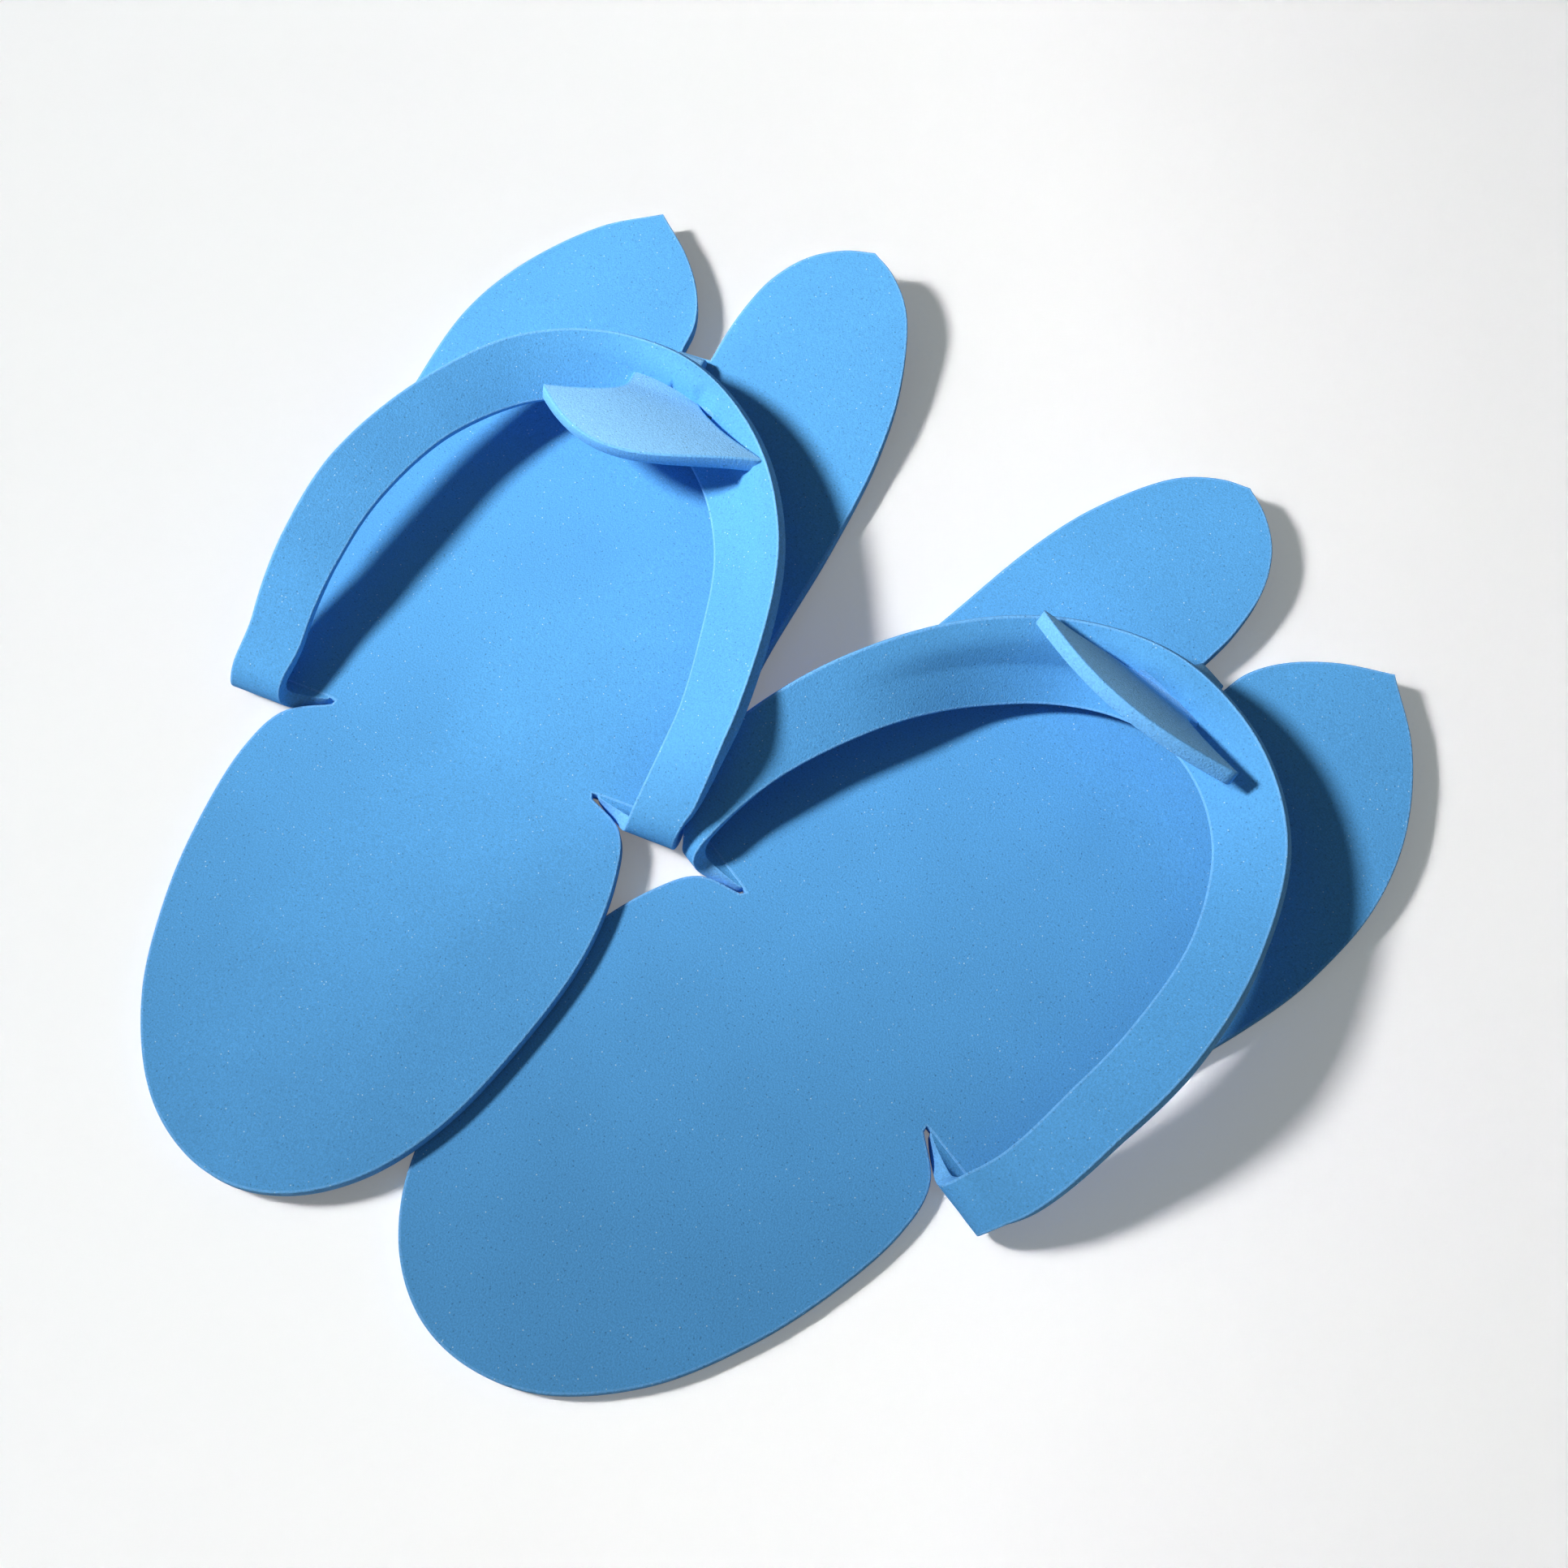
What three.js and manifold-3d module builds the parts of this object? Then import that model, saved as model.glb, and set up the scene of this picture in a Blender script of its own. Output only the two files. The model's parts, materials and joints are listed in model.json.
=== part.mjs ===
// A pair of one-piece flip flops cut from flat foam sheet and folded for wear.
// Each shoe is a sole, a ring-shaped strap that rolls up and over from two ears beside the heel,
// and a tongue between the two toe lobes that passes up through a slit in the strap and ends in a
// barbed tail. The pair lies on a table, toes apart, with the left heel resting on the right heel.
// Units are millimetres. Shoe frame: x points to the little-toe side, y to the toes, z up, and the
// heel's end is at y = 0 on the table.
import * as THREE from 'three';
import { mergeVertices } from 'three/addons/utils/BufferGeometryUtils.js';
import Module from 'manifold-3d';

const wasm = await Module();
wasm.setup();

// Driving dimensions
const thickness = 3.8;          // foam sheet
const gap = 0.3;                // left at every bend line where two named pieces meet
const foldY = 116.2;            // line across the ears where the strap starts to roll
const curlRadius = 4.6;         // of the roll's middle surface
const rolled = Math.PI * curlRadius;    // length of strap that the roll takes up
const rootY = 240;              // back end of the gap between the toe lobes
const rootX = -18.2;
const rootRise = 3;             // of the sole's underside there
const widestY = 190;            // where the sole is widest
const toeBreakY = 210;          // where it starts to rise towards the toes
const rootBend = 3;             // radius of the tongue's bend at its root
const slitY = 224;
const slitZ = 18;
const slitLength = 29;
const slitSquareHalf = 10.5;    // half of its length that is open to its full height
const slitClearance = 0.85;     // above and below the tongue
const rearLipDip = 5.8;         // the tongue presses the strap down behind the slit
const frontLipRise = 1.4;       // and lifts it in front
const hingePastSlit = 3.2;        // from the slit to the line where the tail folds
const splay = THREE.MathUtils.degToRad(15.7);   // each shoe's turn from the pair's middle line
const heelSpacing = 64;         // between the two heels' middles, across the pair
const heelLead = 3.9;           // how far the right heel lies in front of the left one
const heelRelief = 0.6;         // how far the heel's outline keeps back from the rolling strap
const soleStep = 9;             // facet size of the soles
const strapFacets = 4;          // across the strap

// What differs between the two shoes as they lie (rises, skews and banks in degrees)
const rightShoe = {
  side: 1, innerLobeRise: 6, outerLobeRise: 4.2, outerLobeSpread: 2.2,
  rootTrim: 10.6, innerLegLift: 0, innerLegBank: 0, strapShorten: 0,
  strapPinch: 0.02, pinchMiddle: -8, pinchFrom: rolled, pinchTo: 3 * rolled,
  slitX: -17.5, slitSetBack: 0, slitSkew: 2.5, tailSkew: 9, tailRise: 54,
};
const leftShoe = {
  side: -1, innerLobeRise: 10.5, outerLobeRise: 4.4, outerLobeSpread: -3.2,
  rootTrim: 2.5, innerLegLift: 2.5, innerLegBank: 7, strapShorten: 0.03,
  strapPinch: 0.075, pinchMiddle: -35, pinchFrom: 0, pinchTo: 1.6 * rolled,
  slitX: -18, slitSetBack: 3.3, slitSkew: 8.5, tailSkew: 3, tailRise: 38,
};

// The strap in the flat sheet, from the little-toe ear round the heel to the big-toe ear: its edge
// against the heel, its outside edge, and where that strip ends up when worn: how far the edge nearer
// the heel rises above the top of the roll, and how steeply the strip banks up to its outside edge.
const strapStations = [
  { heel: [27, 116], rim: [53, 116], lift: 0, bank: 0 },
  { heel: [37.8, 109.5], rim: [54, 107.5], lift: 0, bank: 0 },
  { heel: [42.5, 97], rim: [58, 96], lift: 1.2, bank: 8 },
  { heel: [43.8, 77], rim: [60.5, 75], lift: 7.6, bank: 16 },
  { heel: [42, 56], rim: [59, 51.5], lift: 10.2, bank: 18 },
  { heel: [35.5, 32], rim: [51, 25], lift: 8.8, bank: 20 },
  { heel: [22.5, 12], rim: [35, -1.5], lift: 5, bank: 26 },
  { heel: [8, 2.5], rim: [14, -15], lift: 3, bank: 32 },
  { heel: [-6, 0], rim: [-8, -18], lift: 2.3, bank: 34 },
  { heel: [-20, 3.5], rim: [-28.5, -13], lift: 2, bank: 33 },
  { heel: [-33, 13], rim: [-47, -0.5], lift: 2, bank: 30 },
  { heel: [-44, 29], rim: [-62, 20], lift: 2.8, bank: 27 },
  { heel: [-53, 54], rim: [-72.5, 49.5], lift: 4, bank: 24 },
  { heel: [-58, 79], rim: [-76, 78], lift: 3.2, bank: 19 },
  { heel: [-57, 99], rim: [-73.5, 98], lift: 0.4, bank: 9 },
  { heel: [-53, 110.5], rim: [-70.5, 108.5], lift: 0, bank: 0 },
  { heel: [-43, 116], rim: [-69.5, 116], lift: 0, bank: 0 },
];
const strapTurn = 0.047;        // slope by which a worn strap swings towards the big-toe side
const strapMiddle = -8;         // x of the strap's middle line
const rollDivisions = 6;        // facets per station where the strap rolls
const legDivisions = 4;         // and elsewhere

// Edges of the sole in front of the ears
const bigToeSide = [[-69.5, 116.4], [-68, 140], [-68, 163], [-71.5, 199], [-73.5, 230], [-72, 250],
  [-66, 270], [-58.5, 279], [-52, 283]];
const bigToeGapEdge = [[-52, 283], [-44, 281], [-35.5, 276], [-28.5, 267], [-24, 254], [-22.1, rootY]];
const littleToeGapEdge = [[-14, rootY], [-14, 249], [-10.5, 258.5], [-3, 268.5], [8, 278]];
const littleToeSide = [[8, 278], [24, 268], [39, 251], [48, 232], [51.5, 212], [52, 190],
  [51, 165], [51.5, 140], [53, 116.4]];

// Half widths of the tongue and tail against the distance from the root along the middle line
const tongueHalfWidths = [[0, 3.5], [8, 4.2], [16, 6.5], [24, 9.4]];
const barbAt = 13.6;            // beyond the slit
const barbBlunt = 1.2;          // flat at each barb's point
const tailFrontHalf = 29.6;     // half width of the tail's front edge
const tailFrontBulge = 9.8;     // the front edge's middle, beyond the barbs
const tailHalfWidths = [[0, 9.4], [3, 9.8], [6, 11.4], [9, 15.2], [11.5, 21], [13.6, 30]];

const foam = new THREE.MeshStandardMaterial({ color: 0x4a92d6, roughness: 0.85, metalness: 0 });

const { lerp, smoothstep, degToRad } = THREE.MathUtils;

function smoothPath(points, divisions) {
  const curve = new THREE.CatmullRomCurve3(points.map(([x, y]) => new THREE.Vector3(x, y, 0)));
  return curve.getPoints((points.length - 1) * divisions).map(p => [p.x, p.y]);
}

// Straight-line table lookup: rows are [position, value]
function valueAt(rows, position) {
  const next = rows.findIndex(row => row[0] >= position);
  if (next === 0) return rows[0][1];
  if (next < 0) return rows[rows.length - 1][1];
  const [from, to] = [rows[next - 1], rows[next]];
  return lerp(from[1], to[1], (position - from[0]) / (to[0] - from[0]));
}

// ---- the strap's lines, shared by the strap and the heel ----

const heelCurve = new THREE.CatmullRomCurve3(
  strapStations.map(({ heel }) => new THREE.Vector3(heel[0], heel[1], 0)));
const rimCurve = new THREE.CatmullRomCurve3(
  strapStations.map(({ rim }) => new THREE.Vector3(rim[0], rim[1], 0)));
const riseCurve = new THREE.CatmullRomCurve3(
  strapStations.map(({ lift, bank }, i) => new THREE.Vector3(lift, bank, i)));

function strapParameters() {
  const last = strapStations.length - 1;
  const list = [];
  for (let i = 0; i < last; i++) {
    const divisions = i < 2 || i > last - 3 ? rollDivisions : legDivisions;
    for (let k = 0; k < divisions; k++) list.push((i + k / divisions) / last);
  }
  list.push(1);
  return list;
}

// ---- soles ----

function soleOutline(shoe) {
  const heel = strapParameters().map(u => {
    const { x, y } = heelCurve.getPoint(u);
    return [x, y - heelRelief * (1 - smoothstep(Math.min(u, 1 - u), 0.05, 0.12))];
  });
  heel[0][1] = foldY + gap / 2;
  heel[heel.length - 1][1] = foldY + gap / 2;
  const lobes = [bigToeSide, bigToeGapEdge, littleToeGapEdge, littleToeSide];
  const front = lobes.flatMap(edge => smoothPath(edge, 4));
  return heel.concat(front).map(([x, y]) => spreadLobe(shoe, x, y));
}

// The little-toe lobe's outside edge stands a little wider on one shoe than on the other
function spreadLobe(shoe, x, y) {
  const share = smoothstep(y, widestY - 25, toeBreakY) * smoothstep(x, 0, 45);
  return [x + shoe.outerLobeSpread * share, y];
}

// Depth of a point inside an outline, negative outside
function depthInside(outline, x, y) {
  let inside = false;
  let nearest = Infinity;
  outline.forEach(([bx, by], i) => {
    const [ax, ay] = outline[(i + outline.length - 1) % outline.length];
    const along = ((x - ax) * (bx - ax) + (y - ay) * (by - ay)) / ((bx - ax) ** 2 + (by - ay) ** 2 || 1);
    const t = Math.min(Math.max(along, 0), 1);
    nearest = Math.min(nearest, Math.hypot(x - lerp(ax, bx, t), y - lerp(ay, by, t)));
    const crosses = ay > y !== by > y && x < ax + (bx - ax) * (y - ay) / (by - ay);
    if (crosses) inside = !inside;
  });
  return inside ? nearest : -nearest;
}

function placement(shoe) {
  const turn = new THREE.Matrix4().makeRotationZ(-shoe.side * splay);
  const mirror = new THREE.Matrix4().makeScale(shoe.side, 1, 1);
  const shift = new THREE.Matrix4().makeTranslation(
    shoe.side * heelSpacing / 2, shoe.side * heelLead / 2, 0);
  return shift.multiply(turn).multiply(mirror);
}

const lobeStartY = 225;                 // where the lobes begin to curl up
const lobeLength = 55;
const rightOutline = soleOutline(rightShoe);
const leftToRight = placement(rightShoe).invert().multiply(placement(leftShoe));
const heelRest = thickness + gap;       // height of the left sole where it lies on the right one
const drapeStart = 44;                  // distance from the right sole where the left one leaves the table
const drapeEnd = 13;

// Height of a sole's underside
function underside(shoe, x, y) {
  const gapSide = smoothstep(x, rootX - 10, rootX + 10);
  const tipRise = lerp(shoe.innerLobeRise, shoe.outerLobeRise, gapSide);
  const rootLift = rootRise * smoothstep(y, toeBreakY - 15, rootY + 3);
  const lobeRise = (tipRise - rootRise) * Math.max((y - lobeStartY) / lobeLength, 0) ** 1.5;
  if (shoe.side > 0) return rootLift + lobeRise;
  const there = new THREE.Vector3(x, y, 0).applyMatrix4(leftToRight);
  const depth = depthInside(rightOutline, there.x, there.y);
  const fade = 1 - smoothstep(y, 165, rootY - 5);
  return rootLift + lobeRise + heelRest * smoothstep(depth, -drapeStart, -drapeEnd) * fade;
}

function sole(shoe) {
  const outline = soleOutline(shoe);
  const profile = new THREE.Shape(outline.map(([x, y]) => new THREE.Vector2(x, y)));
  const outlineBox = new THREE.Box2().setFromPoints(profile.getPoints()).expandByScalar(soleStep / 2);
  const size = outlineBox.getSize(new THREE.Vector2());
  const depth = 2 * size.x;             // deeper than any rise of the sheet
  const column = new THREE.ExtrudeGeometry(profile, { depth, bevelEnabled: false });
  column.translate(0, 0, -depth / 2);
  const columns = Math.ceil(size.x / soleStep);
  const rows = Math.ceil(size.y / soleStep);
  const sheet = closedSheet(columns, rows, (i, j) => {
    const x = lerp(outlineBox.min.x, outlineBox.max.x, i / columns);
    const y = lerp(outlineBox.min.y, outlineBox.max.y, j / rows);
    const bottom = underside(shoe, x, y);
    return [new THREE.Vector3(x, y, bottom), new THREE.Vector3(x, y, bottom + thickness)];
  });
  return fromSolid(toSolid(sheet).intersect(toSolid(column)));
}

// ---- strap ----

// Stretches of the strap as shares of its length from the little-toe ear
const innerLegStart = [0.69, 0.8];
const innerLegEnd = [0.82, 0.9];
const rootStart = [0.855, 0.93];
const kerfAtEars = 1.4;         // cut away between heel and strap, wide where the strap rolls
const kerfAtHeel = 0.5;

function bell(offset, width) {
  return Math.exp(-((offset / width) ** 2));
}

// A point of the strap's middle surface; v runs from the heel's side (0) to the outside edge (1)
function strapPoint(shoe, u, v) {
  const heel = heelCurve.getPoint(u);
  const rim = rimCurve.getPoint(u);
  const { x: liftHere, y: bankHere } = riseCurve.getPoint(u);
  const onInnerLeg = smoothstep(u, ...innerLegStart) * (1 - smoothstep(u, ...innerLegEnd));
  const lift = liftHere + shoe.innerLegLift * onInnerLeg;
  const bank = degToRad(bankHere + shoe.innerLegBank * onInnerLeg);
  rim.x += shoe.rootTrim * smoothstep(u, ...rootStart);
  const width = heel.distanceTo(rim);
  const kerf = lerp(kerfAtEars, kerfAtHeel, smoothstep(Math.min(u, 1 - u), 0.04, 0.1));
  const across = lerp(kerf, width, v);
  const flat = heel.lerp(rim, across * Math.cos(bank) / width);
  const past = Math.max(foldY - flat.y, gap / 2);
  const turn = Math.min(past / curlRadius, Math.PI);
  const run = Math.max(past - rolled, 0);
  const dip = rearLipDip * bell(flat.x - shoe.slitX + 16, 26);
  const rise = frontLipRise * bell(flat.x - shoe.slitX, 17);
  const lips = lerp(-dip, rise, smoothstep(v, 0.5, 0.95)) * smoothstep(past, 60, 95);
  const stays = 1 - smoothstep(past, rolled, foldY);
  const rest = underside(shoe, flat.x, foldY) * stays;
  const forward = run - curlRadius * Math.sin(turn);
  const worn = smoothstep(past, rolled, 3 * rolled);
  const sideways = flat.x - strapMiddle;
  const pinched = smoothstep(past, shoe.pinchFrom, shoe.pinchTo);
  const pinch = pinched * shoe.strapPinch * (flat.x - shoe.pinchMiddle);
  return new THREE.Vector3(
    flat.x - worn * forward * strapTurn - pinch,
    foldY + forward + worn * (sideways * strapTurn - forward * shoe.strapShorten),
    thickness / 2 + curlRadius * (1 - Math.cos(turn)) + lift + across * Math.sin(bank) + lips + rest);
}

function strap(shoe) {
  const parameters = strapParameters();
  const small = 0.002;          // step for the surface's slopes
  const blank = closedSheet(parameters.length - 1, strapFacets, (i, j) => {
    const u = Math.min(Math.max(parameters[i], small), 1 - small);
    const v = j / strapFacets;
    const centre = strapPoint(shoe, parameters[i], v);
    const along = strapPoint(shoe, u + small, v).sub(strapPoint(shoe, u - small, v));
    const over = strapPoint(shoe, u, Math.min(v + small, 1));
    over.sub(strapPoint(shoe, u, Math.max(v - small, 0)));
    const half = along.cross(over).normalize().multiplyScalar(thickness / 2);
    return [centre.clone().sub(half), centre.clone().add(half)];
  });
  return fromSolid(toSolid(blank).subtract(toSolid(slitCutter(shoe))));
}

// ---- tongue and tail ----

// The tongue's side view: forward bend at the root, then straight up and back through the slit
const bendCentre = new THREE.Vector2(rootY, rootRise + thickness / 2 + rootBend);

function neckOf(shoe) {
  const toSlit = new THREE.Vector2(rootY - slitY + shoe.slitSetBack, slitZ - bendCentre.y);
  const rise = toSlit.angle() - Math.asin(rootBend / toSlit.length());
  const bendTurn = Math.PI - rise;
  const bendLength = rootBend * bendTurn;
  const slitDistance = bendLength + Math.sqrt(toSlit.lengthSq() - rootBend ** 2);
  const hingeDistance = slitDistance + hingePastSlit;
  return { rise, bendTurn, bendLength, slitDistance, hingeDistance, shoe };
}

// Middle-line point of the tongue at a distance from its root, and the directions there
function neckFrame(neck, distance) {
  const { rise, bendTurn, bendLength, slitDistance, hingeDistance, shoe } = neck;
  const turn = Math.min(distance / rootBend, bendTurn);
  const run = Math.max(distance - bendLength, 0);
  const toSlitSkew = shoe.slitSkew * smoothstep(distance, bendLength, slitDistance);
  const toTailSkew = smoothstep(distance, slitDistance, hingeDistance - thickness / 2);
  const skew = degToRad(lerp(toSlitSkew, shoe.tailSkew, toTailSkew));
  const shift = lerp(rootX, shoe.slitX, smoothstep(distance, 0, slitDistance));
  const heading = new THREE.Vector3(Math.sin(skew), -Math.cos(skew), 0);
  const along = heading.clone().multiplyScalar(-Math.cos(turn)).setZ(Math.sin(turn));
  const across = new THREE.Vector3(Math.cos(skew), Math.sin(skew), 0);
  const centre = new THREE.Vector3(
    shift,
    bendCentre.x + rootBend * Math.sin(turn) - run * Math.cos(rise),
    bendCentre.y - rootBend * Math.cos(turn) + run * Math.sin(rise));
  return { centre, along, across, normal: across.clone().cross(along) };
}

function toeTongue(shoe) {
  const neck = neckOf(shoe);
  const { slitDistance } = neck;
  const start = 1.5 * gap;
  const end = neck.hingeDistance - thickness / 2 - gap;
  const steps = 20;
  const across = 2;
  return closedSheet(steps, across, (i, j) => {
    const distance = lerp(start, end, i / steps);
    const reach = distance - slitDistance;
    const scaled = distance * tongueHalfWidths.at(-1)[0] / slitDistance;
    const half = reach < 0 ? valueAt(tongueHalfWidths, scaled) : valueAt(tailHalfWidths, reach);
    return sheetPair(neckFrame(neck, distance), half * (2 * j / across - 1));
  });
}

function sheetPair({ centre, across, normal }, offset) {
  const middle = centre.clone().addScaledVector(across, offset);
  const half = normal.clone().multiplyScalar(thickness / 2);
  return [middle.clone().add(half), middle.sub(half)];
}

// The tail turns about the hinge line, so its near end is rounded about that line
function lockTail(shoe) {
  const neck = neckOf(shoe);
  const { centre: hinge } = neckFrame(neck, neck.hingeDistance);
  const skew = degToRad(shoe.tailSkew);
  const across = new THREE.Vector3(Math.cos(skew), Math.sin(skew), 0);
  const rise = degToRad(shoe.tailRise);
  const back = new THREE.Vector3(across.y, -across.x, 0);
  const along = back.multiplyScalar(Math.cos(rise)).setZ(Math.sin(rise));
  const profile = new THREE.Shape();
  const sides = tailHalfWidths.filter(([reach]) => reach > hingePastSlit);
  profile.moveTo(valueAt(tailHalfWidths, hingePastSlit), 0);
  for (const [reach, half] of sides) profile.lineTo(half, reach - hingePastSlit);
  const tip = barbAt + barbBlunt - hingePastSlit;
  const steps = 12;
  for (let i = 0; i <= steps; i++) {
    const t = 1 - 2 * i / steps;
    profile.lineTo(tailFrontHalf * t, tip + (tailFrontBulge - barbBlunt) * (1 - t * t));
  }
  for (const [reach, half] of sides.reverse()) profile.lineTo(-half, reach - hingePastSlit);
  profile.lineTo(-valueAt(tailHalfWidths, hingePastSlit), 0);
  const plate = new THREE.ExtrudeGeometry(profile, { depth: thickness, bevelEnabled: false });
  plate.translate(0, 0, -thickness / 2);
  const length = 2 * valueAt(tailHalfWidths, hingePastSlit);
  const knuckle = new THREE.CylinderGeometry(thickness / 2, thickness / 2, length, 16).rotateZ(Math.PI / 2);
  const tail = fromSolid(toSolid(plate).add(toSolid(knuckle)));
  const basis = new THREE.Matrix4().makeBasis(across, along, across.clone().cross(along));
  return tail.applyMatrix4(basis.setPosition(hinge));
}

// Pointed slot through the strap, wide enough for the tongue to slide in
function slitCutter(shoe) {
  const neck = neckOf(shoe);
  const { centre, along, across, normal } = neckFrame(neck, neck.slitDistance);
  const halfHeight = thickness / 2 + slitClearance;
  const square = slitSquareHalf;
  const end = slitLength / 2;
  const profile = new THREE.Shape([
    new THREE.Vector2(-end, 0), new THREE.Vector2(-square, -halfHeight),
    new THREE.Vector2(square, -halfHeight), new THREE.Vector2(end, 0),
    new THREE.Vector2(square, halfHeight), new THREE.Vector2(-square, halfHeight),
  ]);
  const depth = 4 * thickness;
  const cutter = new THREE.ExtrudeGeometry(profile, { depth, bevelEnabled: false });
  cutter.translate(0, 0, -depth / 2);
  const basis = new THREE.Matrix4().makeBasis(across, normal.negate(), along);
  return cutter.applyMatrix4(basis.setPosition(centre));
}

// ---- geometry helpers ----

// A closed sheet from a grid of [one face, other face] point pairs
function closedSheet(columns, rows, pairAt) {
  const positions = [];
  const index = [];
  const id = (i, j, face) => 2 * (i * (rows + 1) + j) + face;
  for (let i = 0; i <= columns; i++) {
    for (let j = 0; j <= rows; j++) {
      for (const point of pairAt(i, j)) positions.push(point.x, point.y, point.z);
    }
  }
  const quad = (a, b, c, d) => index.push(a, b, c, a, c, d);
  for (let i = 0; i < columns; i++) {
    for (let j = 0; j < rows; j++) {
      quad(id(i, j, 0), id(i, j + 1, 0), id(i + 1, j + 1, 0), id(i + 1, j, 0));
      quad(id(i, j, 1), id(i + 1, j, 1), id(i + 1, j + 1, 1), id(i, j + 1, 1));
    }
    quad(id(i, 0, 0), id(i + 1, 0, 0), id(i + 1, 0, 1), id(i, 0, 1));
    quad(id(i, rows, 0), id(i, rows, 1), id(i + 1, rows, 1), id(i + 1, rows, 0));
  }
  for (let j = 0; j < rows; j++) {
    quad(id(0, j, 0), id(0, j, 1), id(0, j + 1, 1), id(0, j + 1, 0));
    quad(id(columns, j, 0), id(columns, j + 1, 0), id(columns, j + 1, 1), id(columns, j, 1));
  }
  const geometry = new THREE.BufferGeometry();
  geometry.setAttribute('position', new THREE.Float32BufferAttribute(positions, 3));
  geometry.setIndex(index);
  return geometry;
}

function toSolid(geometry) {
  const bare = geometry.clone();
  bare.deleteAttribute('normal');
  bare.deleteAttribute('uv');
  const merged = mergeVertices(bare, 1e-4);
  const vertProperties = new Float32Array(merged.attributes.position.array);
  const triVerts = new Uint32Array(merged.index.array);
  return new wasm.Manifold(new wasm.Mesh({ numProp: 3, vertProperties, triVerts }));
}

function fromSolid(solid) {
  const { vertProperties, triVerts } = solid.getMesh();
  const geometry = new THREE.BufferGeometry();
  geometry.setAttribute('position', new THREE.BufferAttribute(vertProperties, 3));
  geometry.setIndex(new THREE.BufferAttribute(triVerts, 1));
  return geometry;
}

// Mirroring turns every triangle over, so the left shoe's are turned back
function mirrored(geometry) {
  const flipped = geometry.clone().scale(-1, 1, 1);
  const { array } = flipped.index;
  for (let i = 0; i < array.length; i += 3) [array[i], array[i + 1]] = [array[i + 1], array[i]];
  return flipped;
}

// ---- assembly ----

function buildShoe(name, shoe) {
  const pieces = {
    sole: sole(shoe),
    strap: strap(shoe),
    toe_tongue: toeTongue(shoe),
    lock_tail: lockTail(shoe),
  };
  const group = new THREE.Group();
  for (const [piece, geometry] of Object.entries(pieces)) {
    const handed = shoe.side > 0 ? geometry : mirrored(geometry);
    const mesh = new THREE.Mesh(handed, foam.clone());
    mesh.name = `${name}_${piece}`;
    group.add(mesh);
  }
  group.rotation.z = -shoe.side * splay;
  group.position.set(shoe.side * heelSpacing / 2, shoe.side * heelLead / 2, 0);
  return group;
}

const pair = new THREE.Group();
pair.add(buildShoe('right', rightShoe), buildShoe('left', leftShoe));

// Origin: middle of the pair, on the table
const bounds = new THREE.Box3().setFromObject(pair, true);
const middle = bounds.getCenter(new THREE.Vector3());
for (const shoe of pair.children) shoe.position.add(new THREE.Vector3(-middle.x, -middle.y, -bounds.min.z));

export default pair;
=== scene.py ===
# A pair of one-piece foam flip flops, each cut from flat sheet and folded for wear.
# Lengths of the shoes' shapes are in millimetres in each shoe's own frame: x to the little-toe side,
# y to the toes, z up, heel end at y = 0. Everything else is in metres in the row frame.
import json
import math

import bpy
import numpy as np
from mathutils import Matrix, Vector
from mathutils.geometry import delaunay_2d_cdt

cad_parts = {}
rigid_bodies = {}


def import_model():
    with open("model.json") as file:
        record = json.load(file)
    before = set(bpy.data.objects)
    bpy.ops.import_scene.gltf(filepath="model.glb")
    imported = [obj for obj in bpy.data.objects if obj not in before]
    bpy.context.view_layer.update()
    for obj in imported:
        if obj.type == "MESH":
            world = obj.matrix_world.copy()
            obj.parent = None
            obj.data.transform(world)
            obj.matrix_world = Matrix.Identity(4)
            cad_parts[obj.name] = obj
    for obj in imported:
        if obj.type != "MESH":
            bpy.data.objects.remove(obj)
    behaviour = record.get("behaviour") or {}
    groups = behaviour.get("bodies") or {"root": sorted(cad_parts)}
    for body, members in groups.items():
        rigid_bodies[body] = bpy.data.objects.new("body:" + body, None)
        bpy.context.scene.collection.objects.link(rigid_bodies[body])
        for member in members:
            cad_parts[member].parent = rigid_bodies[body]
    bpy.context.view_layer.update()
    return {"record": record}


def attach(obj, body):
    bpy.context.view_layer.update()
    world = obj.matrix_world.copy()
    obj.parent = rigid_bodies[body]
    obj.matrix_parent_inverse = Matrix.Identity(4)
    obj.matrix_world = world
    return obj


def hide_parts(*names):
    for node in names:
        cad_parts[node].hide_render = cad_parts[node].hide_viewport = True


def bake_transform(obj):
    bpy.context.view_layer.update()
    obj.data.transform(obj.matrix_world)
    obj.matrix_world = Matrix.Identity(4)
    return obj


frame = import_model()
MM = 0.001

# ---- dimensions of the folded sheets ----

THICKNESS = 3.8
FOLD_Y = 116.2              # line across the ears where the strap starts to roll
CURL_RADIUS = 4.6
ROLLED = math.pi * CURL_RADIUS
ROOT_X = -18.2              # back end of the gap between the toe lobes
ROOT_Y = 240.0
ROOT_RISE = 3.0
WIDEST_Y = 190.0
TOE_BREAK_Y = 210.0         # the sheet starts to rise here
LOBE_START_Y = 225.0
LOBE_LENGTH = 55.0
LOBE_CURVE = 1.5            # power of a lobe's rise along its length
ROOT_BEND = 3.0             # radius of the tongue's bend at its root
SLIT_Y = 224.0
SLIT_Z = 18.0
REAR_LIP_DIP = 5.8
REAR_LIP_SHIFT = 16.0
REAR_LIP_WIDTH = 26.0
FRONT_LIP_RISE = 3.6
FRONT_LIP_WIDTH = 17.0
FRONT_LIP_FALL = 0.6        # share of the front lip's rise that is gone at the strap's front edge
LIP_BLEND = 0.09            # half the share of the width over which one lip turns into the other
LIPS_FROM = 60.0
LIPS_FULL = 95.0
HINGE_PAST_SLIT = 3.2
HINGE_BEND_HALF = 2.6       # half the length in which the tail turns at the hinge
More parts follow.
